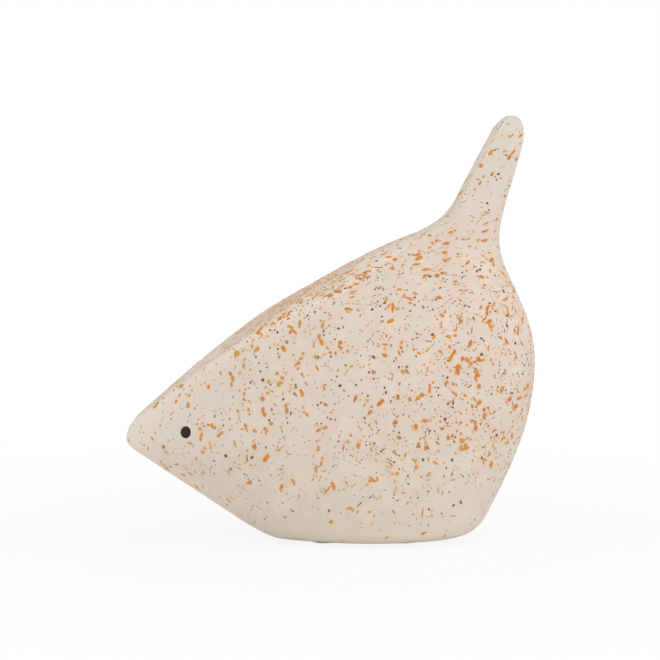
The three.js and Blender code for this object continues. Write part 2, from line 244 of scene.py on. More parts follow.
# Stage: places of the softboxes in metres, by the setting that holds their power, then floor and camera
SOFTBOXES = {
    "front": (0.4, -1.8, 0.6),
    "left": (-1.85, -0.4, 0.6),
    "right": (1.85, -0.4, 0.6),
    "top": (0.5, -0.2, 1.8),
}
WHITE, PAPER = (1.0, 1.0, 1.0, 1.0), (0.95, 0.95, 0.95, 1.0)
FLOOR_REACH = 3
FLOOR_GLOW = ((50, 200), 0.87, 1.0)  # share of pure white, from the bird outwards
SENSOR_WIDTH = 36.0
NEAREST, FARTHEST = 0.01, 20.0


def length(name, description, millimetres):
    return bpy.props.FloatProperty(
        name=name, description=description, default=millimetres * MM, unit="LENGTH", precision=5
    )


def share(name, description, default, low=0.0, high=1.0):
    return bpy.props.FloatProperty(
        name=name, description=description, default=default, min=low, max=high, subtype="FACTOR"
    )


def count(name, description, default):
    return bpy.props.IntProperty(name=name, description=description, default=default, min=0)


def number(name, description, default):
    return bpy.props.FloatProperty(name=name, description=description, default=default)


def to_linear(value):
    return value / 12.92 if value <= 0.04045 else ((value + 0.055) / 1.055) ** 2.4


def tint(red, green, blue):
    return tuple(to_linear(v / 255) for v in (red, green, blue))


def colour(name, description, *shade):
    return bpy.props.FloatVectorProperty(
        name=name, description=description, default=tint(*shade), size=3, min=0, max=1, subtype="COLOR"
    )


class CastingSizes(bpy.types.PropertyGroup):
    """Sizes of the slip-cast body"""

    body_length: length("Body length", "Beak tip to rump", 115.5)
    body_width: length("Body width", "Across the belly", 54)
    beak_height: length("Beak height", "Base to beak tip", 28)
    belly_height: length("Belly height", "Base to the widest level", 37)
    rump_height: length("Rump height", "Base to the rearmost level", 49.5)
    tail_root_height: length("Tail root height", "Base to the hollow behind the tail", 85)
    tail_root_inset: length("Tail root inset", "Rump to that hollow, along the body", 10.2)
    tail_length: length("Tail length", "Hollow to tail tip", 34.4)
    tail_sweep: length("Tail sweep", "Lean of the tail tip behind the hollow", 3.3)
    tail_width: length("Tail width", "Across the straight part of the tail", 10.4)
    base_front: length("Base front", "Origin to the front edge of the flat base", 15)
    base_rear: length("Base rear", "Origin to the rear edge of the flat base", 34)
    base_width: length("Base width", "Across the flat base", 26)
    base_lift: length("Base lift", "Shelf to the flat base, the felt's thickness", 0.8)
    wall: length("Wall", "Thickness of the cast wall", 4)
    vent_diameter: length("Casting hole", "Diameter of the hole in the base", 10)
    vent_round: length("Hole rim", "Rounding of the hole's rims", 0.6)
    glaze_line: length("Glaze line", "Base to where the glaze was wiped off", 0.35)
    unevenness: length("Unevenness", "Depth of the hand-finished waves in the skin", 0.12)
    wave_length: length("Wave length", "Spacing of those waves", 26)
    seed: count("Seed", "Draws the waves", 4)


class GlazeLook(bpy.types.PropertyGroup):
    """Colours of the glaze and of the bare clay, with painted shade for the flat back and painted highlight
    for the ridges
    """

    cream: colour("Cream", "Main glaze colour", 222, 207, 194)
    cool: colour("Cool cream", "Glaze on head, tail and foot, with less iron in it", 219, 208, 197)
    pool: colour("Pooled cream", "Glaze where it ran thick, low on the body", 219, 208, 191)
    # Painted shade: a darker, warmer cream for the flat back, which faces up away from the front light
    back_shade: colour("Warm cream", "Glaze that lay thick on the flat back", 224, 201, 178)
    thin: colour("Thin cream", "Glaze where it broke over the edges", 246, 233, 215)
    # The thin cream is both glaze that breaks paler at random and painted highlight along the ridges
    bare: colour("Bare clay", "Unglazed base and inside", 206, 190, 168)
    grog: colour("Grog", "Coarse grains in the bare clay", 150, 128, 104)
    roughness: share("Roughness", "Satin finish of the glaze", 0.58)


class SplatterLook(bpy.types.PropertyGroup):
    """Colours and amounts of the splattered drops"""

    orange: colour("Orange", "Main drop colour", 220, 141, 46)
    rust: colour("Rust", "Darker, iron-rich drops", 208, 121, 37)
    tan: colour("Tan", "Thin, light drops", 218, 155, 68)
    amber: colour("Amber", "Rims of the drops", 230, 195, 158)
    ochre: colour("Ochre", "Thin yellow washes", 206, 173, 123)
    sand: colour("Sand", "Rims of the yellow washes", 216, 195, 164)
    umber: colour("Umber", "Fine brown mist", 140, 103, 68)
    soot: colour("Soot", "Darkest specks", 70, 48, 32)
    amount: number("Amount", "Multiplies the number of all drops", 1.0)
    seed: count("Seed", "Draws the layout of the drops", 11)


class EyeLook(bpy.types.PropertyGroup):
    """Inlaid eyes"""

    diameter: length("Diameter", "Across the eye", 3.4)
    dome: length("Dome", "Rise over the glaze", 0.3)
    depth: length("Depth", "How far the pellet goes into the wall", 1.2)
    black: colour("Black clay", "Eye colour", 35, 26, 17)


class FeltLook(bpy.types.PropertyGroup):
    """Felt feet"""

    grey: colour("Felt", "Main felt colour", 214, 206, 192)
    dark: colour("Felt shade", "Darker fibres", 170, 160, 146)
    fibres: count("Fibres", "Loose fibres on each foot", 420)
    fibre_length: length("Fibre length", "Length of a loose fibre", 0.45)
    fibre_radius: length("Fibre radius", "Radius of a fibre at its thick end", 0.012)
    seed: count("Seed", "Draws the fibres", 7)


class StageLook(bpy.types.PropertyGroup):
    """Floor, light and camera"""

    distance: length("Camera distance", "Camera to the aim point", 1000)
    elevation: bpy.props.FloatProperty(
        name="Elevation", description="Camera angle above the horizon",
        default=math.radians(7), subtype="ANGLE", unit="ROTATION")
    field: length("Field", "Width of the view at the aim point", 186.45)
    aim_x: length("Aim along", "Aim point along the body", -0.08)
    aim_z: length("Aim height", "Height of the aim point", 59.54)
    front: number("Front light", "Power of the softbox in front, in watts", 8.2)
    left: number("Left light", "Power of the softbox on the beak's side, in watts", 7.4)
    right: number("Right light", "Power of the softbox on the rump's side, in watts", 6.4)
    top: number("Top light", "Power of the softbox overhead, in watts", 6.8)
    softbox: length("Softbox", "Across each softbox", 1400)
    ambient: number("Ambient", "Strength of the light from all round", 0.52)


class Wire:
    """A socket to reckon with: every sum or product adds one node to its tree."""

    def __init__(self, tree, socket):
        self.tree, self.socket = tree, socket

    def math(self, operation, *others):
        return field(self.tree, "ShaderNodeMath", dict(enumerate((self, *others))), operation=operation)

    def vector(self, operation, *others):
        output = 1 if operation in ("DOT_PRODUCT", "LENGTH", "DISTANCE") else 0
        values = dict(enumerate((self, *others)))
        return field(self.tree, "ShaderNodeVectorMath", values, output, operation=operation)

    def times(self, factor):
        return field(self.tree, "ShaderNodeVectorMath", {0: self, 3: factor}, operation="SCALE")

    def parts(self):
        node = put(self.tree, "ShaderNodeSeparateXYZ", {0: self})
        return [Wire(self.tree, socket) for socket in node.outputs]

    def ramp(self, low, high, start, end):
        values = {0: self, 1: low, 2: high, 3: start, 4: end}
        return field(self.tree, "ShaderNodeMapRange", values, interpolation_type="SMOOTHSTEP")

    def over(self, zone, before, after):
        """Goes from one value to another over a zone given in millimetres."""
        low, high = zone
        return self.ramp(low * MM, high * MM, before, after)

    def __add__(self, other):
        return self.math("ADD", other)

    def __sub__(self, other):
        return self.math("SUBTRACT", other)

    def __mul__(self, other):
        return self.math("MULTIPLY", other)

    def __truediv__(self, other):
        return self.math("DIVIDE", other)

    def __rsub__(self, other):
        return (self * -1).math("ADD", other)

    __radd__, __rmul__ = __add__, __mul__


def link(tree, socket, value):
    if isinstance(value, Wire):
        value = value.socket
    if isinstance(value, bpy.types.NodeSocket):
        tree.links.new(value, socket)
    elif value is not None:
        socket.default_value = value


def put(tree, kind, values=None, **settings):
    node = tree.nodes.new(kind)
    for name, value in settings.items():
        setattr(node, name, value)
    for key, value in (values or {}).items():
        link(tree, node.inputs[key], value)
    return node


def field(tree, kind, values=None, output=0, **settings):
    return Wire(tree, put(tree, kind, values, **settings).outputs[output])


def combine(tree, x, y, z):
    return field(tree, "ShaderNodeCombineXYZ", {0: x, 1: y, 2: z})


def new_tree(name, floats, ints, materials):
    """A Geometry Nodes tree with these named inputs, and its inputs as wires by name."""
    tree = bpy.data.node_groups.new(name, "GeometryNodeTree")
    labels = {"Geometry": ("Mesh",), "Float": floats, "Int": ints, "Material": materials}
    for kind, names in labels.items():
        for label in names:
            tree.interface.new_socket(label, in_out="INPUT", socket_type=f"NodeSocket{kind}")
    tree.interface.new_socket("Mesh", in_out="OUTPUT", socket_type="NodeSocketGeometry")
    start = tree.nodes.new("NodeGroupInput")
    return tree, {s.name: Wire(tree, s) for s in start.outputs if s.name}


def end_tree(tree, mesh):
    put(tree, "NodeGroupOutput", {0: mesh})
    return tree


def stored(tree, mesh, name, value, kind="FLOAT", domain="POINT"):
    values = {"Geometry": mesh, "Name": name, "Value": value}
    return field(tree, "GeometryNodeStoreNamedAttribute", values, data_type=kind, domain=domain)


def named(tree, name, kind="FLOAT"):
    return field(tree, "GeometryNodeInputNamedAttribute", {"Name": name}, data_type=kind)


def run_tree(obj, tree, **values):
    """Runs the tree on the object's mesh and leaves the result as a plain mesh."""
    modifier = obj.modifiers.new(tree.name, "NODES")
    modifier.node_group = tree
    for item in tree.interface.items_tree:
        key = item.name.lower().replace(" ", "_")
        if item.in_out == "INPUT" and key in values:
            modifier[item.identifier] = values[key]
    depsgraph = bpy.context.evaluated_depsgraph_get()
    evaluated = obj.evaluated_get(depsgraph)
    made = bpy.data.meshes.new_from_object(evaluated, preserve_all_data_layers=True, depsgraph=depsgraph)
    obj.modifiers.clear()
    while None in list(made.materials):
        made.materials.pop(index=list(made.materials).index(None))
    old, obj.data = obj.data, made
    made.name = obj.name
    bpy.data.meshes.remove(old)


def keep_only(mesh, *names):
    """Drops the working attributes of a finished mesh."""
    for name in [a.name for a in mesh.attributes if not (a.is_required or a.is_internal)]:
        if name not in (*names, "sharp_face", "material_index"):
            mesh.attributes.remove(mesh.attributes[name])


def new_piece(name, mesh):
    obj = bpy.data.objects.new(name, mesh)
    bpy.context.scene.collection.objects.link(obj)
    return obj


def settings():
    return bpy.context.scene.bird


def bezier(points):
    t = np.linspace(0, 1, CURVE_STEPS + 1)[:, None]
    rows = [np.asarray(p, float) for p in points]
    while len(rows) > 1:
        rows = [a + (b - a) * t for a, b in zip(rows, rows[1:])]
    return rows[0]


def outline(start, *segments):
    """A rising line of straight and curved segments, each given by its handles and its end."""
    pieces, last = [np.array([start])], start
    for segment in segments:
        pieces.append(bezier([last, *segment])[1:])
        last = segment[-1]
    return np.concatenate(pieces)


def casting_outlines(sizes):
    """Front, rear and half-width outlines in millimetres, as (place, height above the base)."""
    mm = {name: getattr(sizes, name) / MM for name in sizes.bl_rna.properties.keys()
          if name.startswith(("body", "beak", "belly", "rump", "tail", "base"))}
    beak = np.array([-mm["body_length"] / 2, mm["beak_height"]])
    rump = np.array([mm["body_length"] / 2, mm["rump_height"]])
    hollow = np.array([rump[0] - mm["tail_root_inset"], mm["tail_root_height"]])
    tip = hollow + (mm["tail_sweep"], mm["tail_length"])
    base_front = np.array([-mm["base_front"], 0.0])
    base_rear = np.array([mm["base_rear"], 0.0])

    corner, throat, brow, nape = base_front + CHEST_CORNER, beak + THROAT, beak + BROW, hollow + NAPE
    chest = throat - corner
    chest_foot = corner + chest * CHEST_ROUND / np.linalg.norm(chest)
    under_beak = corner + chest * (beak[0] - corner[0]) / chest[0]
    front = outline(
        base_front,
        (corner, chest_foot),
        (throat,),
        (under_beak, beak),
        (beak + BROW_PULL, brow),
        (brow + BACK_PULL, nape + NAPE_PULL, nape),
        (hollow + TAIL_CORNER, hollow + TAIL_FRONT),
        (tip + TIP_FRONT,),
        (tip + TIP_FRONT_PULL, tip),
    )
    heel = base_rear + HEEL
    rear = outline(
        base_rear,
        (base_rear + HEEL_CORNER, heel),
        (heel + HEEL_PULL, rump + RUMP_DROP, rump),
        (rump + RUMP_LIFT, hollow + HOLLOW_DROP, hollow),
        (hollow + HOLLOW_LIFT, hollow + TAIL_REAR),
        (tip + TIP_REAR,),
        (tip + TIP_REAR_PULL, tip + TIP_CROWN_PULL, tip),
    )
    foot = np.array([mm["base_width"] / 2, 0.0])
    flank_foot = foot + FLANK_FOOT
    belly = np.array([mm["body_width"] / 2, mm["belly_height"]])
    tail = np.array([mm["tail_width"] / 2, mm["tail_root_height"] + TAIL_WIDTH_RISE])
    crown = np.array([0.0, tip[1]])
    half = outline(
        foot,
        (foot + FOOT_CORNER, flank_foot),
        (flank_foot + FLANK_PULL, belly + BELLY_DROP, belly),
        (belly + BELLY_LIFT, tail + TAIL_DROP, tail),
        (tail + TIP_DROP, crown + (mm["tail_width"] / 2, 0), crown),
    )
    return front, rear, half


def smoothstep(value, low, high):
    t = min(1.0, max(0.0, (value - low) / (high - low)))
    return t * t * (3 - 2 * t)


def lerp(a, b, t):
    return a + (b - a) * t


def contour_row(height, front, rear, half, sizes, glazed):
    """The numbers of one level contour, in ROW_FIELDS order."""
    beak, root = sizes.beak_height / MM, sizes.tail_root_height / MM
    straight = root + TAIL_FRONT[1]
    on_tail = smoothstep(height, root, straight)
    on_nape = smoothstep(height, beak + CRISP_RISE, beak + SOFT_RISE)
    if height < beak:
        below = smoothstep(height, 0, beak)
        fullness = lerp(BASE_FULLNESS, BEAK_FULLNESS, below)
        ridge = lerp(CHEST_RIDGE, HEAD_RIDGE, below)
    else:
        on_back = lerp(BEAK_FULLNESS, BACK_FULLNESS, smoothstep(height, beak, beak + BACK_RISE))
        fullness = lerp(on_back, TAIL_FULLNESS, on_tail)
        ridge = lerp(lerp(HEAD_RIDGE, NAPE_RIDGE, on_nape), TAIL_RIDGE, on_tail)
    up_tail = smoothstep(height, straight, root + sizes.tail_length / MM)
    shoulder = lerp(BODY_SHOULDER, lerp(TAIL_ROOT_SHOULDER, TAIL_TIP_SHOULDER, up_tail), on_tail)
    side = lerp(BODY_SOFTNESS, TAIL_SOFTNESS, on_tail)
    return (height, front, rear, half, ridge, fullness, REAR_FULLNESS, shoulder, HIP,
            lerp(RIDGE_SOFTNESS, NAPE_SOFTNESS, on_nape), side, BODY_SOFTNESS, on_tail, glazed)


def round_row(height, middle, radius):
    return (height, middle - radius, middle + radius, radius, NO_LIMIT, ROUND_FULLNESS, ROUND_FULLNESS,
            ROUND_SHARE, ROUND_SHARE, *[ROUND_SOFTNESS] * 3, 0.0, 0.0)


def inside_wall(line, height, side, wall):
    """Where a ball as big as the wall stops as it rolls along the inside of an outline."""
    near = line[np.abs(line[:, 1] - height) < wall]
    return side * np.max(side * near[:, 0] + np.sqrt(wall ** 2 - (near[:, 1] - height) ** 2))


def casting_rows(sizes):
    """All level contours in one run: cavity from the top down, hole, base, outside up to the tail tip."""
    front, rear, half = casting_outlines(sizes)
    wall, top = sizes.wall / MM, front[-1, 1]
    middle = (front[0, 0] + rear[0, 0]) / 2
    radius, rim = sizes.vent_diameter / MM / 2, sizes.vent_round / MM

    cavity = []
    for height in np.arange(wall, top, CAVITY_STEP):
        fore, aft = inside_wall(front, height, 1, wall), inside_wall(rear, height, -1, wall)
        broad = inside_wall(half, height, -1, wall)
        if min(aft - fore, 2 * broad) < CAVITY_CLOSE:
            break
        cavity.append(contour_row(height, fore, aft, broad, sizes, glazed=0.0))
    height, fore, aft, _, *shape = cavity[-1]
    end = (height, (fore + aft) / 2, (fore + aft) / 2, 0.0, *shape)

    hole = []
    flare = radius + rim
    turns = np.linspace(0, math.pi / 2, RIM_ROWS)
    for turn in turns:
        hole.append(round_row(wall - rim + rim * math.cos(turn), middle, flare - rim * math.sin(turn)))
    for turn in turns:
        hole.append(round_row(rim - rim * math.sin(turn), middle, flare - rim * math.cos(turn)))

    steps = np.linspace(0, 1, OUTER_ROWS)
    crowded = 0.5 - 0.5 * np.cos(math.pi * steps)
    heights = top * (EVEN_ROWS * steps + (1 - EVEN_ROWS) * crowded)
    glaze_line = sizes.glaze_line / MM
    outside = []
    for height in heights:
        places = [np.interp(height, line[:, 1], line[:, 0]) for line in (front, rear, half)]
        outside.append(contour_row(height, *places, sizes, glazed=float(height > glaze_line)))
    edge, ring = np.array(outside[0]), np.array(hole[-1])
    base = [ring + (edge - ring) * t for t in np.linspace(0, 1, BASE_ROWS + 2)[1:-1]]
    rows = np.array([end, *cavity[::-1], *hole, *base, *outside])
    rows[:, 0] += sizes.base_lift / MM
    rows[:, :LENGTH_FIELDS] *= MM
    return rows


def contour_tree():
    """Rounded eight-cornered contours, one for each row of the mesh that comes in, skinned into a shell."""
    tree, given = new_tree(
        "Slip-cast contours", floats=("Unevenness", "Wave Length", "Base Height"),
        ints=("Corner Steps", "Flat Steps", "Seed"), materials=("Glaze", "Bare Clay"))
    rows = given["Mesh"]
    row_count = field(tree, "GeometryNodeAttributeDomainSize", {0: rows}, component="MESH")
    group = given["Corner Steps"] + given["Flat Steps"]
    around = group * CORNERS
    grid = field(tree, "GeometryNodeMeshGrid", {
        "Size X": 1.0, "Size Y": 1.0, "Vertices X": row_count, "Vertices Y": around + 1})

    # Each point of the grid finds its row, and its corner and step round the contour
    index = field(tree, "GeometryNodeInputIndex")
    row = (index / (around + 1)).math("FLOOR")
    column = index - row * (around + 1)
    turn = (column + around - given["Flat Steps"] * 0.5).math("MODULO", around)
    corner = (turn / group).math("FLOOR")
    step = turn - corner * group
    bend = (step / given["Corner Steps"]).math("MINIMUM", 1.0)
    run = (step - given["Corner Steps"]).math("MAXIMUM", 0.0) / given["Flat Steps"]

    def at_row(name):
        values = {"Geometry": rows, "Value": named(tree, name), "Index": row}
        return field(tree, "GeometryNodeSampleIndex", values, data_type="FLOAT", domain="POINT")

    size = {name: at_row(name) for name in ROW_FIELDS}
    reach = size["rear"] - size["front"]
    shoulder = size["front"] + reach * size["shoulder"]
    hip = size["rear"] - reach * size["hip"]
    full_front = size["half"] * size["fullness"]
    full_rear = size["half"] * size["rear_fullness"]

    def pick(which, *options):
        node = put(tree, "GeometryNodeIndexSwitch", data_type="FLOAT")
        while len(node.index_switch_items) < len(options):
            node.index_switch_items.new()
        for socket, value in zip(node.inputs, (which, *options)):
            link(tree, socket, value)
        return Wire(tree, node.outputs[0])

    def place(shift):
        which = (corner + (CORNERS + shift)).math("MODULO", float(CORNERS))
        from_front = which.math("MINIMUM", CORNERS - 1 - which)
        side = which.math("GREATER_THAN", CORNERS / 2 - 0.5) * 2 - 1
        x = pick(from_front, size["front"], shoulder, hip, size["rear"])
        y = pick(from_front, full_front, size["half"], size["half"], full_rear) * side
        softness = pick(from_front, size["ridge_softness"], *[size["side_softness"]] * 2,
                        size["rear_softness"])
        limit = pick(from_front, size["ridge_round"], *[NO_LIMIT * MM] * 3)
        return combine(tree, x, y, 0.0), softness, limit

    def rounding(here, other):
        spot, softness, limit = here
        gap = spot.vector("DISTANCE", other[0]).math("MAXIMUM", NEAR_ZERO)
        return softness.math("MINIMUM", limit / gap)

    def at_corner(which):
        return corner.math("COMPARE", float(which), SAME)

    def between(start, end, step):
        return start.vector("ADD", end.vector("SUBTRACT", start).times(step))

    # A corner is rounded between its neighbours, and a flat runs on to the next one
    before, here, after = place(-1), place(0), place(1)
    start = between(here[0], before[0], rounding(here, before))
    end = between(here[0], after[0], rounding(here, after))
    following = between(after[0], here[0], rounding(after, here))
    rounded = between(between(start, here[0], bend), between(here[0], end, bend), bend)
    flat = rounded.vector("ADD", following.vector("SUBTRACT", end).times(run))
    spot = flat.vector("ADD", combine(tree, 0.0, 0.0, size["height"]))

    # Waves of the hand-finished skin, and marks that the glaze and the splatter read
    pitch = given["Wave Length"].math("POWER", -1.0)
    values = {"Vector": spot, "W": given["Seed"] * WAVE_STRIDE, "Scale": pitch, "Detail": 1.0}
    waves = field(tree, "ShaderNodeTexNoise", values, noise_dimensions="4D")
    begins, full = (given["Base Height"] + rise * MM for rise in WAVES_START)
    clear = size["height"].ramp(begins, full, 0.0, 1.0)
    wave = (waves - 0.5) * 2 * given["Unevenness"] * size["glazed"] * clear
    on_edge = 1 - (bend * 2 - 1).math("ABSOLUTE")
    from_front = corner.math("MINIMUM", CORNERS - 1 - corner)
    ridge = on_edge * size["glazed"] * from_front.math("COMPARE", size["tail"].math("ROUND"), SAME)
    ridge *= (size["tail"] * 2 - 1).math("ABSOLUTE")
    shell = field(tree, "GeometryNodeSetPosition", {"Geometry": grid, "Position": spot})
    first, last = at_corner(0), at_corner(CORNERS - 1)
    flat_back = last * bend + first * (1 - bend)
    beside = first * bend * (1 - run) + at_corner(CORNERS - 2) * run + last * (1 - bend)
    marks = {"glazed": size["glazed"], "ridge": ridge, "back": flat_back, "wave": wave,
             "beside_ridge": beside * (1 - size["tail"])}
    for name, value in marks.items():
        shell = stored(tree, shell, name, value)
    shell = field(tree, "GeometryNodeMergeByDistance", {"Geometry": shell, "Distance": MERGE_DISTANCE})
    shell = field(tree, "GeometryNodeFlipFaces", {0: shell})
    outward = field(tree, "GeometryNodeInputNormal").times(named(tree, "wave"))
    shell = field(tree, "GeometryNodeSetPosition", {"Geometry": shell, "Offset": outward})
    shell = field(tree, "GeometryNodeSetShadeSmooth", {0: shell})
    shell = field(tree, "GeometryNodeRealizeInstances", {0: shell})
    shell = field(tree, "GeometryNodeSetMaterial", {"Geometry": shell, "Material": given["Bare Clay"]})
    dipped = named(tree, "glazed").math("GREATER_THAN", FULLY)
    shell = field(tree, "GeometryNodeSetMaterial", {
        "Geometry": shell, "Selection": dipped, "Material": given["Glaze"]})
    return end_tree(tree, shell)


def splatter_tree():
    """Drops flung on a skin: each is stretched, tapered and bent by its own draw and laid on the surface."""
    tree, given = new_tree(
        "Splattered drops",
        floats=("Drops", "Smallest", "Largest", "Size Power", "Stretch", "Taper", "Wobble", "Bend",
                "Flow Spread", "Chain", "Chain Step", "Clump", "Clump Size", "Thickness", "Foot Height",
                "Tail Share", "Head Share", "Rump Gain", "Head Size", "Eye X", "Eye Z", "Eye Margin"),
        ints=("Sides", "Rings", "Seed"), materials=("Glaze",))
    skin, seed = given["Mesh"], given["Seed"]
    position = field(tree, "GeometryNodeInputPosition")
    normal = field(tree, "GeometryNodeInputNormal")
    x, _, z = position.parts()

    def draw(salt, low=0.0, high=1.0, key=None):
        """A random number for each point, or for each key. Each salt gives another draw."""
        values = {2: low, 3: high, 7: key, 8: seed + salt}
        return field(tree, "FunctionNodeRandomValue", values, 1, data_type="FLOAT")

    def on_skin(value, spot):
        values = {"Mesh": skin, "Value": value, "Sample Position": spot}
        return field(tree, "GeometryNodeSampleNearestSurface", values, data_type="FLOAT_VECTOR")

    def in_plane(direction, facing):
        lifted = facing.times(direction.vector("DOT_PRODUCT", facing))
        return direction.vector("SUBTRACT", lifted).vector("NORMALIZE")

    # Drops crowd in some parts of the bird and thin out in others
    foot = z.ramp(FOOT_START * MM, given["Foot Height"], FOOT_SHARE, 1.0)
    tail = z.over(TAIL_ZONE, 1.0, given["Tail Share"])
    head = x.over(HEAD_ZONE, given["Head Share"], 1.0)
    off_eye = combine(tree, x - given["Eye X"], 0.0, z - given["Eye Z"]).vector("LENGTH")
    head = head * off_eye.math("GREATER_THAN", given["Eye Margin"])
    rump = x.over(RUMP_ZONE, 0.0, given["Rump Gain"]) * z.over(*RUMP_RISE) + 1
    pitch = given["Clump Size"].math("POWER", -1.0)
    values = {"Vector": position, "W": seed * CLOUD_STRIDE, "Scale": pitch, "Detail": 2.0}
    cloud = field(tree, "ShaderNodeTexNoise", values, noise_dimensions="4D")
    clump = ((cloud - 0.5) * CLOUD_GAIN * given["Clump"] + 1).math("MAXIMUM", LEAST_CLOUD)
    glazed = named(tree, "glazed").math("GREATER_THAN", FULLY)
    nape = named(tree, "back") + named(tree, "beside_ridge") * NAPE_SIDE
    nape = nape * z.over(*NAPE_CROWD) * z.over(*NAPE_END) + 1
    density = given["Drops"] * foot * tail * head * rump * nape * clump * glazed
    values = {"Mesh": skin, "Density": density, "Seed": seed}
    scatter = put(tree, "GeometryNodeDistributePointsOnFaces", values, distribute_method="RANDOM")
    points, facing = (Wire(tree, scatter.outputs[name]) for name in ("Points", "Normal"))

    # Each flung drop gets a direction in the skin and a size. Three draws added up have a mean of 1.5
    swing = (draw(1) + draw(2) + draw(3) - 1.5) * given["Flow Spread"] * z.over(*NAPE_ALIGN)
    flow = z.over(*NAPE_FLOW) + swing
    off_flow = draw(4, *FLOW_ASIDE) * given["Flow Spread"]
    aim = combine(tree, flow.math("COSINE"), off_flow, flow.math("SINE"))
    spread = given["Largest"] / given["Smallest"]
    radius = given["Smallest"] * spread.math("POWER", draw(5).math("POWER", given["Size Power"]))
    radius *= x.over(HEAD_SIZE_ZONE, given["Head Size"], 1.0) * z.over(*NAPE_SIZE)
    for name, value in {"aim": in_plane(aim, facing), "facing": facing}.items():
        points = stored(tree, points, name, value, "FLOAT_VECTOR")
    points = stored(tree, points, "drop_size", radius)

    # Some drops break into a short chain of smaller ones
    in_row = (draw(11).math("POWER", CHAIN_POWER) * given["Chain"]).math("ROUND") + 1
    chain = put(tree, "GeometryNodeDuplicateElements", {"Geometry": points, "Amount": in_row}, domain="POINT")
    points, place = (Wire(tree, socket) for socket in chain.outputs[:2])
    points = stored(tree, points, "place", place)
    points = stored(tree, points, "drop", field(tree, "GeometryNodeInputIndex"), "INT")
    drop, place, size = named(tree, "drop", "INT"), named(tree, "place"), named(tree, "drop_size")
    aim, facing, along, centre, local = (
        named(tree, name, "FLOAT_VECTOR") for name in ("aim", "facing", "along", "centre", "local"))
    follows = place.math("MINIMUM", 1.0)
    ahead = place * given["Chain Step"] * draw(12, *CHAIN_AHEAD, drop)
    beside = follows * given["Chain Step"] * draw(13, *CHAIN_ASIDE, drop)
    spot = position.vector("ADD", aim.times(ahead))
    spot = spot.vector("ADD", aim.vector("CROSS_PRODUCT", facing).times(beside))
    smaller = 1 - follows * draw(14, *CHAIN_SHRINK, drop)
    turned = aim.vector("ADD", combine(tree, *(draw(salt, *DROP_TURN, drop) for salt in (15, 16, 17))))
    points = field(tree, "GeometryNodeSetPosition", {"Geometry": points, "Position": on_skin(position, spot)})
    points = stored(tree, points, "centre", position, "FLOAT_VECTOR")
    points = stored(tree, points, "facing", on_skin(normal, position), "FLOAT_VECTOR")
    points = stored(tree, points, "drop_size", size * smaller)
    points = stored(tree, points, "along", in_plane(turned, facing), "FLOAT_VECTOR")

    bead = field(tree, "GeometryNodeMeshUVSphere", {
        "Segments": given["Sides"], "Rings": given["Rings"], "Radius": 1.0})
    bead = stored(tree, bead, "local", position, "FLOAT_VECTOR")
    drops = field(tree, "GeometryNodeInstanceOnPoints", {"Points": points, "Instance": bead})
    drops = field(tree, "GeometryNodeRealizeInstances", {0: drops})

    # The bead is shaped in the plane of the skin
    lx, ly, lz = local.parts()
    fore, _, high = centre.parts()
    turn, phase = ly.math("ARCTAN2", lx), draw(6, 0.0, math.tau, drop)
    ripple = sum((turn * waves + phase * shift).math("SINE") * rise for waves, shift, rise in RIPPLES)
    shape = ripple * given["Wobble"] + 1
    streaky = high.over(*HIGH_STREAKS).math("MAXIMUM", high.over(*LOW_STREAKS))
    pull = draw(7, key=drop).math("POWER", PULL_POWER - streaky * STREAK_POWER)
    stretch = (given["Stretch"] - 1) * (streaky * STREAK_GAIN + 1) * pull + 1
    narrow = 1 - given["Taper"] * draw(8, key=drop) * lx.ramp(*TAPER_SPAN, 0.0, 1.0)
    bow = given["Bend"] * draw(9, -1.0, 1.0, drop) * lx * lx * stretch.math("SQRT")
    forth = lx * shape * stretch.math("POWER", LENGTHEN) * size
    aside = (ly * shape * narrow * stretch.math("POWER", NARROW) + bow) * size
    across = facing.vector("CROSS_PRODUCT", along)
    spot = centre.vector("ADD", along.times(forth)).vector("ADD", across.times(aside))
    rise = lz * given["Thickness"] + given["Thickness"] * SEAT_SHARE
    spot = on_skin(position, spot).vector("ADD", on_skin(normal, spot).times(rise))
    drops = field(tree, "GeometryNodeSetPosition", {"Geometry": drops, "Position": spot})

    # Tone and rim colour the drop, and give it its place on the bake map
    thin = size.over(*SMALL_DROP)
    paler = fore.over(*FRONT_TONE).math("MAXIMUM", high.over(*LOW_TONE))
    tone = (draw(10, key=drop) * TONE_SPREAD + thin * THIN_TONE + paler).math("MINIMUM", 1.0)
    rim = ((lx * lx + ly * ly).math("SQRT") + thin).math("MINIMUM", 1.0)
    drops = stored(tree, drops, "tone", tone)
    drops = stored(tree, drops, "rim", rim)
    map_x = tone * MAP_TONE[0] + MAP_EDGE + lx * MAP_TONE[1]
    map_y = rim * MAP_RIM[0] + MAP_EDGE + ly * MAP_RIM[1]
    drops = stored(tree, drops, "OFBake", combine(tree, map_x, map_y, 0.0), "FLOAT2", "CORNER")
    drops = field(tree, "GeometryNodeSetShadeSmooth", {0: drops})
    values = {"Geometry": drops, "Selection": lz.math("COMPARE", 0.0, RIM_MARGIN), "Shade Smooth": False}
    drops = field(tree, "GeometryNodeSetShadeSmooth", values, domain="EDGE")
    drops = field(tree, "GeometryNodeRealizeInstances", {0: drops})
    drops = field(tree, "GeometryNodeSetMaterial", {"Geometry": drops, "Material": given["Glaze"]})
    return end_tree(tree, drops)


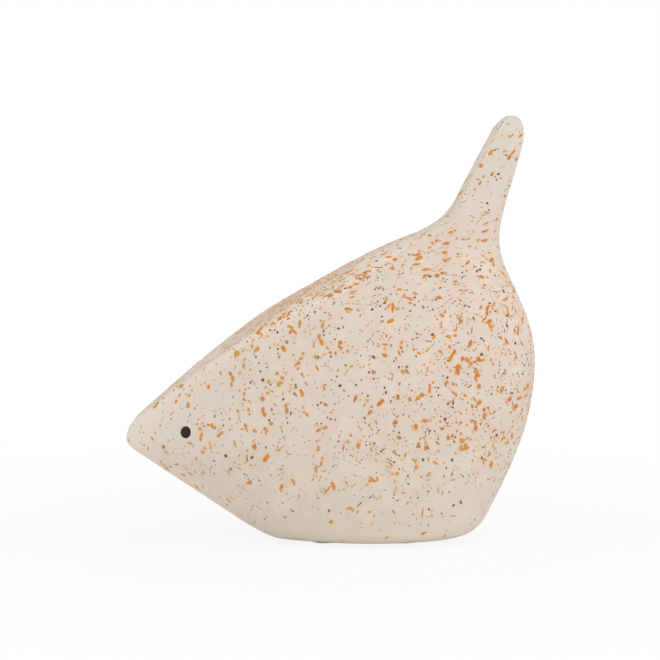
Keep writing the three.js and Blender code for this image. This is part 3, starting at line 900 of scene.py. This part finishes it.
def fibre_tree():
    """Loose felt fibres: thin tapered strands that lie nearly flat on the felt."""
    tree, given = new_tree(
        "Felt fibres", floats=("Fibres", "Fibre Length", "Fibre Radius", "Thickness"), ints=("Seed",),
        materials=("Felt",))
    pad, seed, thick = given["Mesh"], given["Seed"], given["Thickness"]

    def draw(salt, low, high):
        values = {2: low, 3: high, 8: seed + salt}
        return field(tree, "FunctionNodeRandomValue", values, 1, data_type="FLOAT")

    bared = field(tree, "GeometryNodeInputNormal").parts()[2].math("LESS_THAN", GLUED)
    values = {"Mesh": pad, "Selection": bared, "Density": given["Fibres"], "Seed": seed}
    scatter = put(tree, "GeometryNodeDistributePointsOnFaces", values, distribute_method="RANDOM")
    points, rotation = (Wire(tree, scatter.outputs[name]) for name in ("Points", "Rotation"))
    strand = field(tree, "GeometryNodeMeshCone", {
        "Vertices": 3, "Side Segments": 2, "Fill Segments": 1, "Depth": given["Fibre Length"],
        "Radius Top": given["Fibre Radius"] * FIBRE_TIP, "Radius Bottom": given["Fibre Radius"]})
    lean = combine(tree, draw(1, *FIBRE_LEAN), 0.0, draw(2, 0.0, math.tau))
    tilt = field(tree, "FunctionNodeEulerToRotation", {0: lean})
    lie = field(tree, "FunctionNodeRotateRotation", {0: rotation, 1: tilt}, rotation_space="LOCAL")
    fuzz = field(tree, "GeometryNodeInstanceOnPoints", {
        "Points": points, "Instance": strand, "Rotation": lie, "Scale": draw(3, *FIBRE_SCALE)})
    fuzz = field(tree, "GeometryNodeRealizeInstances", {0: fuzz})

    # Fibres are pressed softly between the shelf and the base
    x, y, z = field(tree, "GeometryNodeInputPosition").parts()
    skirt = thick * FIBRE_SKIRT
    low = ((z - skirt) / skirt).math("MINIMUM", 0.0).math("EXPONENT") * skirt
    high = ((thick - skirt - z) / skirt).math("MINIMUM", 0.0).math("EXPONENT") * skirt
    pressed = z.math("MAXIMUM", skirt).math("MINIMUM", thick - skirt) + low - high
    values = {"Geometry": fuzz, "Position": combine(tree, x, y, pressed)}
    fuzz = field(tree, "GeometryNodeSetPosition", values)
    whole = put(tree, "GeometryNodeJoinGeometry")
    for part in (fuzz, pad):
        link(tree, whole.inputs[0], part)
    felt = field(tree, "GeometryNodeRealizeInstances", {0: Wire(tree, whole.outputs[0])})
    felt = field(tree, "GeometryNodeSetMaterial", {"Geometry": felt, "Material": given["Felt"]})
    return end_tree(tree, felt)


def new_material(name, roughness=0.5, **constants):
    """A material with one Principled shader: its tree, that shader and the object's own coordinates."""
    material = bpy.data.materials.new(name)
    material.use_nodes = True
    tree = material.node_tree
    shader = tree.nodes["Principled BSDF"]
    shader.inputs["Roughness"].default_value = roughness
    for key, value in constants.items():
        shader.inputs[key.replace("_", " ").title().replace("Ior", "IOR")].default_value = value
    coords = field(tree, "ShaderNodeTexCoord", output=3)
    return material, tree, shader, coords


def noise(tree, coords, scale, detail=2.0, roughness=0.5):
    values = {"Vector": coords, "Scale": scale, "Detail": detail, "Roughness": roughness}
    return field(tree, "ShaderNodeTexNoise", values)


def blend(tree, step, first, second):
    ends = [value if isinstance(value, Wire) else (*value, 1.0) for value in (first, second)]
    return field(tree, "ShaderNodeMix", {0: step, 6: ends[0], 7: ends[1]}, 2, data_type="RGBA")


def pattern(tree, coords, scale, detail, low, high, before, after):
    """A noise that goes from one value to another between two of its own."""
    return noise(tree, coords, scale, detail).ramp(low, high, before, after)


def mark(tree, name):
    """A value that is stored on the mesh."""
    return field(tree, "ShaderNodeAttribute", output=2, attribute_name=name)


def waver_roughness(tree, shader, coords, scale, middle, spread):
    waver = noise(tree, coords, scale).ramp(*MIDDLE, middle - spread, middle + spread)
    link(tree, shader.inputs["Roughness"], waver)


def bump(tree, shader, height, depth, strength=1.0):
    values = {"Strength": strength, "Distance": depth, "Height": height}
    link(tree, shader.inputs["Normal"], field(tree, "ShaderNodeBump", values))


def mist_layer(tree, coords, scale, amount, smallest, largest):
    """Tiny round flecks: how strongly each shows, and a random number for each."""
    cells = put(tree, "ShaderNodeTexVoronoi", {"Vector": coords, "Scale": scale})
    distance = Wire(tree, cells.outputs["Distance"])
    red, green, blue = Wire(tree, cells.outputs["Color"]).parts()
    radius = (red * red).ramp(0.0, 1.0, smallest, largest)
    inner, outer = FLECK_EDGE
    inside = field(tree, "ShaderNodeMapRange", {0: distance / radius, 1: inner, 2: outer, 3: 1.0, 4: 0.0})
    return inside * green.math("LESS_THAN", amount), blue


def glaze_material(look, drops):
    """Satin cream glaze that pools, breaks pale in places, takes iron from the drops and holds fine mist,
    with painted shade on the flat back and a painted highlight along the ridges.
    """
    material, tree, shader, coords = new_material("splattered_satin_glaze", look.roughness)
    x, _, z = coords.parts()
    back, bleed, ridge, beside = (mark(tree, name) for name in ("back", "bleed", "ridge", "beside_ridge"))

    cool = x.over(*COOL_HEAD).math("MAXIMUM", z.over(*COOL_TAIL)).math("MAXIMUM", z.over(*COOL_FOOT))
    base = blend(tree, cool, look.cream, look.cool)
    cloud = noise(tree, coords, scale=34.0, detail=3.0) - 0.5
    pooled = z.over(*POOL_LOW) * x.over(*POOL_REAR) * POOL_SHARE + cloud * CLOUD_SHARE
    base = blend(tree, pooled.math("MAXIMUM", 0.0).math("MINIMUM", 1.0), base, look.pool)
    # Painted shade: the flat back gets the darker warm cream, less of it towards the beak and up the tail
    base = blend(tree, back * x.over(*BACK_SHADE_ALONG) * z.over(*BACK_SHADE_END), base, look.back_shade)
    base = blend(tree, pattern(tree, coords, *BLEED_GRAIN) * bleed, base, drops.amber)

    # Glaze breaks paler at random; the pale line on the ridge crest and the pale band beside the ridges are
    # painted highlight
    breaks_and_highlight = pattern(tree, coords, *BREAKS)
    crest_highlight = pattern(tree, coords, *CREST_HIGHLIGHT) * ridge * ridge
    beside = beside * beside * z.over(*HIGHLIGHT_BESIDE_RIDGE)
    for edge in (crest_highlight, beside, x.over(*PALE_BEAK), z.over(*PALE_FOOT), z.over(*PALE_TAIL)):
        breaks_and_highlight = breaks_and_highlight.math("MAXIMUM", edge)
    base = blend(tree, breaks_and_highlight, base, look.thin)

    patchy = pattern(tree, coords, *MIST_PATCHES) * (z.over(*MIST_RISE) * x.over(*MIST_BODY))
    for scale, amount, smallest, largest in GLAZE_MIST:
        fleck, which = mist_layer(tree, coords, scale, patchy * amount, smallest, largest)
        hue = blend(tree, which.ramp(*MIST_HUES, 0.0, 1.0), drops.umber, drops.ochre)
        base = blend(tree, fleck * MIST_STRENGTH, base, hue)
    link(tree, shader.inputs["Base Color"], base)
    waver_roughness(tree, shader, coords, scale=260.0, middle=look.roughness, spread=GLAZE_WAVER)
    bump(tree, shader, noise(tree, coords, scale=420.0, detail=3.0), depth=0.03 * MM, strength=0.5)
    return material


def bare_clay_material(look):
    """Unglazed stoneware with coarse grains."""
    material, tree, shader, coords = new_material("bare_stoneware", roughness=0.88)
    mottle = noise(tree, coords, scale=120.0, detail=4.0)
    base = blend(tree, mottle * CLAY_MOTTLE, look.bare, look.pool)
    grain, _ = mist_layer(tree, coords, *CLAY_GROG)
    link(tree, shader.inputs["Base Color"], blend(tree, grain * GROG_STRENGTH, base, look.grog))
    link(tree, shader.inputs["Roughness"], mottle.ramp(*MIDDLE, *CLAY_ROUGHNESS))
    bump(tree, shader, noise(tree, coords, scale=1800.0, detail=4.0, roughness=0.7), depth=0.08 * MM)
    return material


def drop_material(name, dark, middle, light, thin):
    """Iron-bearing glaze drops: each has its own tone and thins out towards its rim."""
    material, tree, shader, coords = new_material(name, DROP_ROUGHNESS, specular_ior_level=0.25)
    tone = mark(tree, "tone") + (noise(tree, coords, scale=1500.0) - 0.5) * TONE_GRAIN
    base = blend(tree, tone.ramp(*MIDDLE_TONE, 0.0, 1.0), dark, middle)
    base = blend(tree, tone.ramp(*LIGHT_TONE, 0.0, 1.0), base, light)
    base = blend(tree, mark(tree, "rim").ramp(*DROP_RIM), base, thin)
    link(tree, shader.inputs["Base Color"], base)
    waver_roughness(tree, shader, coords, scale=900.0, middle=DROP_ROUGHNESS, spread=DROP_WAVER)
    return material


def eye_material(look):
    """Black clay with browner grains."""
    material, tree, shader, coords = new_material("eye_clay", roughness=0.5, specular_ior_level=0.2)
    mottle = noise(tree, coords, scale=1400.0, detail=3.0)
    brown = [min(1.0, value * EYE_BROWN) for value in look.black]
    link(tree, shader.inputs["Base Color"], blend(tree, mottle.ramp(*EYE_GRAIN), look.black, brown))
    link(tree, shader.inputs["Roughness"], mottle.ramp(*MIDDLE, *EYE_ROUGHNESS))
    bump(tree, shader, noise(tree, coords, scale=2600.0), depth=0.02 * MM, strength=0.6)
    return material


def felt_material(look):
    """Pressed felt: a tangle of lighter and darker fibres."""
    material, tree, shader, coords = new_material("pressed_felt", roughness=0.95, sheen_weight=0.35)
    tangle = noise(tree, coords, scale=2400.0, detail=4.0, roughness=0.7)
    link(tree, shader.inputs["Base Color"], blend(tree, tangle.ramp(*FELT_TANGLE), look.grey, look.dark))
    bump(tree, shader, tangle, depth=0.12 * MM)
    return material


def turned_mesh(name, profile, sides, uneven, seed):
    """A closed mesh turned round Z from (radius, height) points; its radius wavers a little."""
    rng = np.random.default_rng(seed)
    angles = np.linspace(0, math.tau, sides, endpoint=False)
    waver = 1 + uneven * sum(
        rng.uniform(*RIM_WAVE_HEIGHT) / waves * np.sin(waves * angles + rng.uniform(0, math.tau))
        for waves in RIM_WAVES)
    rings = [np.c_[np.cos(angles) * r * waver, np.sin(angles) * r * waver, np.full(sides, h)]
             for r, h in profile[1:-1]]
    points = np.concatenate([[[0, 0, profile[0][1]]], *rings, [[0, 0, profile[-1][1]]]])
    last = len(points) - 1
    faces = []
    for i in range(sides):
        j = (i + 1) % sides
        faces.append((0, 1 + j, 1 + i))
        for row in range(1, last - sides, sides):
            faces.append((row + i, row + j, row + sides + j, row + sides + i))
        faces.append((last, last - sides + i, last - sides + j))
    mesh = bpy.data.meshes.new(name)
    mesh.from_pydata(points.tolist(), [], faces)
    mesh.shade_smooth()
    return mesh


def finish_piece(obj, slot, *nodes):
    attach(obj, "root")
    if nodes:
        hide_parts(*nodes)


class BIRD_OT_casting(bpy.types.Operator):
    """Build the slip-cast body with its cavity, casting hole and glaze"""

    bl_idname = "bird.casting"
    bl_label = "Casting"

    def execute(self, context):
        sizes, look = settings().casting, settings().glaze
        rows = casting_rows(sizes)
        mesh = bpy.data.meshes.new("stoneware_body")
        mesh.from_pydata(np.zeros((len(rows), 3)).tolist(), [], [])
        for name, values in zip(ROW_FIELDS, rows.T):
            mesh.attributes.new(name, "FLOAT", "POINT").data.foreach_set("value", values.astype(np.float32))
        body = new_piece("stoneware_body", mesh)
        run_tree(body, contour_tree(), corner_steps=CORNER_STEPS, flat_steps=FLAT_STEPS,
                 unevenness=sizes.unevenness, wave_length=sizes.wave_length, seed=sizes.seed,
                 base_height=sizes.base_lift, glaze=glaze_material(look, settings().splatter),
                 bare_clay=bare_clay_material(look))
        keep_only(body.data, "glazed", "ridge", "back", "beside_ridge")
        finish_piece(body, "speckled_glaze", "body_shell")
        return {"FINISHED"}


# Kinds of drops: how many per square centimetre, sizes in millimetres, the rest as the tree's inputs say
SPLATTER = {
    "orange_drops": dict(drops=5.6, smallest=0.25, largest=0.86, size_power=1.2, stretch=2.0, taper=0.45,
                         wobble=0.26, bend=0.1, flow_spread=1.6, chain=1.0, chain_step=1.3, clump=0.42,
                         clump_size=13, thickness=0.05, foot_height=31, tail_share=0.38, head_share=0.9,
                         rump_gain=0.8, head_size=1.0, sides=12, rings=4),
    "rust_streaks": dict(drops=1.5, smallest=0.22, largest=0.58, size_power=1.2, stretch=3.8, taper=0.7,
                         wobble=0.2, bend=0.08, flow_spread=1.3, chain=1.0, chain_step=2.4, clump=0.6,
                         clump_size=16, thickness=0.04, foot_height=26, tail_share=0.38, head_share=0.7,
                         rump_gain=0.8, head_size=1.0, sides=12, rings=4),
    "ochre_flecks": dict(drops=4.8, smallest=0.2, largest=0.5, size_power=1.3, stretch=3.4, taper=0.5,
                         wobble=0.2, bend=0.15, flow_spread=1.6, chain=1.4, chain_step=1.2, clump=0.7,
                         clump_size=11, thickness=0.02, foot_height=10, tail_share=0.5, head_share=0.6,
                         rump_gain=0.3, head_size=0.8, sides=10, rings=3),
    "brown_mist": dict(drops=8.6, smallest=0.16, largest=0.4, size_power=1.2, stretch=1.5, taper=0.3,
                       wobble=0.15, bend=0.0, flow_spread=2.0, chain=1.0, chain_step=0.9, clump=0.8,
                       clump_size=9, thickness=0.02, foot_height=28, tail_share=0.75, head_share=0.46,
                       rump_gain=0.5, head_size=1.0, sides=6, rings=2),
    "dark_specks": dict(drops=6.0, smallest=0.18, largest=0.6, size_power=3.0, stretch=1.3, taper=0.3,
                        wobble=0.12, bend=0.0, flow_spread=2.0, chain=0.6, chain_step=1.6, clump=0.7,
                        clump_size=14, thickness=0.03, foot_height=34, tail_share=0.35, head_share=0.4,
                        rump_gain=0.4, head_size=1.0, sides=9, rings=3),
}


def mark_bleed(body, *drops):
    """Marks how near each point of the skin lies to a drop, for the iron that bleeds into the glaze."""
    spots = [vertex.co for piece in drops for vertex in piece.data.vertices]
    nearest = KDTree(len(spots))
    for order, spot in enumerate(spots):
        nearest.insert(spot, order)
    nearest.balance()
    near = [1 - smoothstep(nearest.find(vertex.co)[2], *BLEED_REACH) for vertex in body.data.vertices]
    body.data.attributes.new("bleed", "FLOAT", "POINT").data.foreach_set("value", near)


class BIRD_OT_splatter(bpy.types.Operator):
    """Fling the coloured drops on the glaze"""

    bl_idname = "bird.splatter"
    bl_label = "Splatter"

    def execute(self, context):
        look = settings().splatter
        body = bpy.data.objects["stoneware_body"]
        tree = splatter_tree()
        eye = sum(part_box("left_eye"), Vector()) / 2
        tones = {
            "orange_drops": (look.rust, look.orange, look.tan, look.amber),
            "rust_streaks": (look.rust, look.rust, look.orange, look.amber),
            "ochre_flecks": (look.tan, look.ochre, look.ochre, look.sand),
            "brown_mist": (look.umber, look.umber, look.tan, look.ochre),
            "dark_specks": (look.soot, look.umber, look.umber, look.umber),
        }
        for order, (name, values) in enumerate(SPLATTER.items()):
            drops = new_piece(name, body.data.copy())
            metres = {key: values[key] * MM for key in IN_MILLIMETRES}
            per_area = values["drops"] / CM2 * look.amount
            run_tree(drops, tree, **{**values, **metres, "drops": per_area}, eye_x=eye.x, eye_z=eye.z,
                     eye_margin=settings().eyes.diameter * EYE_MARGIN, seed=look.seed + SEED_STEP * order,
                     glaze=drop_material(f"glaze_{name}", *tones[name]))
            keep_only(drops.data, "tone", "rim", "OFBake")
            finish_piece(drops, "speckled_glaze")
        mark_bleed(body, *(bpy.data.objects[name] for name in ("orange_drops", "rust_streaks")))
        return {"FINISHED"}


class BIRD_OT_eyes(bpy.types.Operator):
    """Set the black clay eyes into the head"""

    bl_idname = "bird.eyes"
    bl_label = "Eyes"

    def execute(self, context):
        look = settings().eyes
        body = bpy.data.objects["stoneware_body"]
        material = eye_material(look)
        radius = look.diameter / 2
        turns = np.linspace(0, math.pi / 2, DOME_STEPS)
        dome = [(radius * math.cos(turn), look.dome * math.sin(turn)) for turn in turns]
        wall = [(0, -look.depth), (radius * EYE_BOTTOM, -look.depth), (radius, -look.depth * EYE_EDGE)]
        for seed, (side, sign) in enumerate(SIDES.items()):
            low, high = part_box(f"{side}_eye")
            outside = (low + high) / 2 + Vector((0, sign * EYE_STEP_OUT, 0))
            _, spot, normal, _ = body.closest_point_on_mesh(outside)
            mesh = turned_mesh(f"eye_{side}", [*wall, *dome], EYE_SIDES, EYE_WAVER, seed)
            mesh.transform(Matrix.Translation(spot) @ normal.to_track_quat("Z", "Y").to_matrix().to_4x4())
            mesh.materials.append(material)
            finish_piece(new_piece(f"eye_{side}", mesh), "black_clay", f"{side}_eye")
        return {"FINISHED"}


class BIRD_OT_feet(bpy.types.Operator):
    """Stick the felt feet under the base"""

    bl_idname = "bird.feet"
    bl_label = "Felt feet"

    def execute(self, context):
        look = settings().felt
        material, tree = felt_material(look), fibre_tree()
        for seed, place in enumerate(FEET, start=look.seed):
            low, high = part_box(f"felt_pad_{place}")
            middle, radius, thick = (low + high) / 2, (high.x - low.x) / 2, high.z
            profile = [(radius * out, thick * up) for out, up in FELT_PROFILE]
            mesh = turned_mesh(f"felt_foot_{place}", profile, FELT_SIDES, FELT_WAVER, seed)
            mesh.transform(Matrix.Translation((middle.x, middle.y, 0)))
            foot = new_piece(f"felt_foot_{place}", mesh)
            per_area = look.fibres / (math.pi * radius * radius * 2)
            run_tree(foot, tree, fibres=per_area, fibre_length=look.fibre_length,
                     fibre_radius=look.fibre_radius, thickness=thick, seed=seed, felt=material)
            finish_piece(foot, "felt", f"felt_pad_{place}")
        return {"FINISHED"}


def area_light(name, power, size, place, aim):
    data = bpy.data.lights.new(name, "AREA")
    data.energy, data.shape, data.size = power, "DISK", size
    lamp = new_piece(name, data)
    lamp.location = place
    lamp.rotation_euler = (aim - Vector(place)).to_track_quat("-Z", "Y").to_euler()


def seen_white(tree):
    """1 for rays that show the backdrop, 0 for rays that light the object."""
    path = put(tree, "ShaderNodeLightPath")
    seen, mirrored, through = (
        Wire(tree, path.outputs[f"Is {kind} Ray"]) for kind in ("Camera", "Glossy", "Transmission"))
    return seen.math("MAXIMUM", mirrored).math("MAXIMUM", through)


class BIRD_OT_stage(bpy.types.Operator):
    """Lay the white floor and set the lights and the camera"""

    bl_idname = "bird.stage"
    bl_label = "Stage"

    def execute(self, context):
        look, scene = settings().stage, context.scene
        scene.view_settings.view_transform = "Standard"
        world = bpy.data.worlds.new("white_studio")
        scene.world = world
        world.use_nodes = True
        sky = world.node_tree.nodes["Background"]
        strength = seen_white(world.node_tree).ramp(0.0, 1.0, look.ambient, 1.0)
        sky.inputs["Color"].default_value = WHITE
        link(world.node_tree, sky.inputs["Strength"], strength)

        floor_mesh = bpy.data.meshes.new("floor")
        corners = [(x * FLOOR_REACH, y * FLOOR_REACH, 0) for x, y in ((-1, -1), (1, -1), (1, 1), (-1, 1))]
        floor_mesh.from_pydata(corners, [], [(0, 1, 2, 3)])
        floor = new_piece("floor", floor_mesh)
        material, tree, shader, coords = new_material("white_paper", roughness=0.9, specular_ior_level=0.0)
        shader.inputs["Base Color"].default_value = PAPER
        glow = put(tree, "ShaderNodeEmission", {"Color": WHITE, "Strength": 1.0})
        glowing = seen_white(tree) * coords.vector("LENGTH").over(*FLOOR_GLOW)
        mix = put(tree, "ShaderNodeMixShader", {0: glowing, 1: shader.outputs[0], 2: glow.outputs[0]})
        link(tree, tree.nodes["Material Output"].inputs["Surface"], mix.outputs[0])
        floor_mesh.materials.append(material)

        aim = Vector((look.aim_x, 0, look.aim_z))
        for side, place in SOFTBOXES.items():
            area_light(f"{side}_softbox", getattr(look, side), look.softbox, place, aim)
        camera = bpy.data.cameras.new("camera")
        camera.sensor_width = SENSOR_WIDTH
        camera.lens = camera.sensor_width * look.distance / look.field
        camera.clip_start, camera.clip_end = NEAREST, FARTHEST
        eye = new_piece("camera", camera)
        back = Vector((0, -math.cos(look.elevation), math.sin(look.elevation)))
        eye.location = aim + back * look.distance
        eye.rotation_euler = (-back).to_track_quat("-Z", "Y").to_euler()
        scene.camera = eye
        return {"FINISHED"}


def part_settings(kind, name):
    return bpy.props.PointerProperty(type=kind, name=name, description=kind.__doc__)


class BirdSettings(bpy.types.PropertyGroup):
    """All settings of the bird"""

    casting: part_settings(CastingSizes, "Casting")
    glaze: part_settings(GlazeLook, "Glaze")
    splatter: part_settings(SplatterLook, "Splatter")
    eyes: part_settings(EyeLook, "Eyes")
    felt: part_settings(FeltLook, "Felt")
    stage: part_settings(StageLook, "Stage")


STEPS = (BIRD_OT_casting, BIRD_OT_splatter, BIRD_OT_eyes, BIRD_OT_feet, BIRD_OT_stage)


class BIRD_PT_panel(bpy.types.Panel):
    """Lists the steps that build the bird and their settings"""

    bl_idname = "BIRD_PT_panel"
    bl_label = "Speckled Bird"
    bl_space_type = "VIEW_3D"
    bl_region_type = "UI"
    bl_category = "Bird"

    def draw(self, context):
        for step in STEPS:
            self.layout.operator(step.bl_idname)
        for group in BirdSettings.__annotations__:
            values = getattr(settings(), group)
            box = self.layout.box()
            for name in values.__annotations__:
                box.prop(values, name)


CLASSES = (CastingSizes, GlazeLook, SplatterLook, EyeLook, FeltLook, StageLook, BirdSettings, *STEPS,
           BIRD_PT_panel)


def register():
    for item in CLASSES:
        bpy.utils.register_class(item)
    bpy.types.Scene.bird = bpy.props.PointerProperty(type=BirdSettings)


def unregister():
    del bpy.types.Scene.bird
    for item in reversed(CLASSES):
        bpy.utils.unregister_class(item)


def main():
    register()
    for step in STEPS:
        group, name = step.bl_idname.split(".")
        getattr(getattr(bpy.ops, group), name)()


if __name__ == "__main__":
    main()
